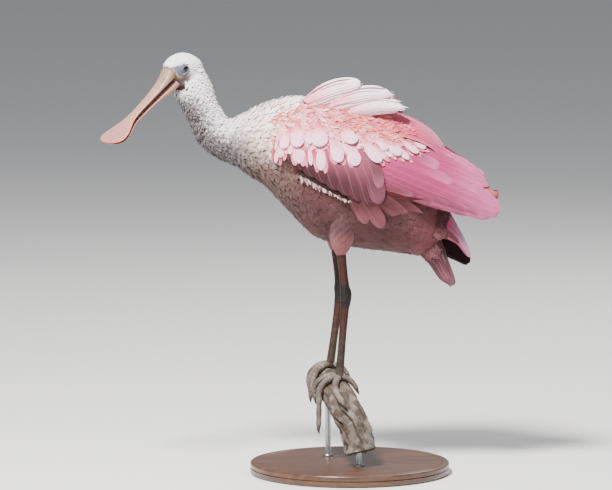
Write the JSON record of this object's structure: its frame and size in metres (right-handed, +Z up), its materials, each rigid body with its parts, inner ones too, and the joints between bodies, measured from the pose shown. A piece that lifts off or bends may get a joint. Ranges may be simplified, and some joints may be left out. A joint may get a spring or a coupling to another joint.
{
  "type": "roseate spoonbill",
  "caption": "Life-size immature roseate spoonbill, standing side on with its head turned and wings folded, gripping a cut length of dead branch on a round display stand.",
  "frame": {"origin": "centre of the stand base's underside, on the floor", "axes": "+Z up, the bird's tail towards +X and its bill towards -X, its left side towards -Y"},
  "size_m": [0.5563, 0.28, 0.5894],
  "materials": {
    "white_feathers": "matte, short ruffled feathers",
    "pink_feathers": "soft satin vanes",
    "bill_horn": "satin horn",
    "eye": "wet gloss",
    "leg_skin": "scaly, dusty",
    "claw_horn": "satin horn",
    "weathered_wood": "rough, cracked and muddy",
    "stained_base": "dark satin stain",
    "steel_rod": "brushed"
  },
  "bodies": {
    "root": {"ankle_left": "leg_skin", "ankle_right": "leg_skin", "bill_lower": "bill_horn", "bill_upper": "bill_horn", "claw_left_hind": "claw_horn", "claw_left_inner": "claw_horn", "claw_left_middle": "claw_horn", "claw_left_outer": "claw_horn", "claw_right_hind": "claw_horn", "claw_right_inner": "claw_horn", "claw_right_middle": "claw_horn", "claw_right_outer": "claw_horn", "eye_left": "eye", "eye_right": "eye", "foot_left": "leg_skin", "foot_right": "leg_skin", "head": "white_feathers", "neck_lower": "white_feathers", "neck_upper": "white_feathers", "perch_branch": "weathered_wood", "scapulars_left_row_1": "pink_feathers", "scapulars_left_row_2": "pink_feathers", "scapulars_left_row_3": "pink_feathers", "scapulars_right_row_1": "pink_feathers", "scapulars_right_row_2": "pink_feathers", "scapulars_right_row_3": "pink_feathers", "shin_left": "leg_skin", "shin_right": "leg_skin", "stand_base": "stained_base", "stand_rod_front": "steel_rod", "stand_rod_rear": "steel_rod", "tail_far_half": "pink_feathers", "tail_near_half": "pink_feathers", "tarsus_left": "leg_skin", "tarsus_right": "leg_skin", "tertials": "pink_feathers", "thigh_left": "pink_feathers", "thigh_right": "pink_feathers", "trunk": "pink_feathers", "undertail": "pink_feathers", "wing_left_coverts": "pink_feathers", "wing_left_flight": "pink_feathers", "wing_right_coverts": "pink_feathers", "wing_right_flight": "pink_feathers"}
  },
  "joints": []
}
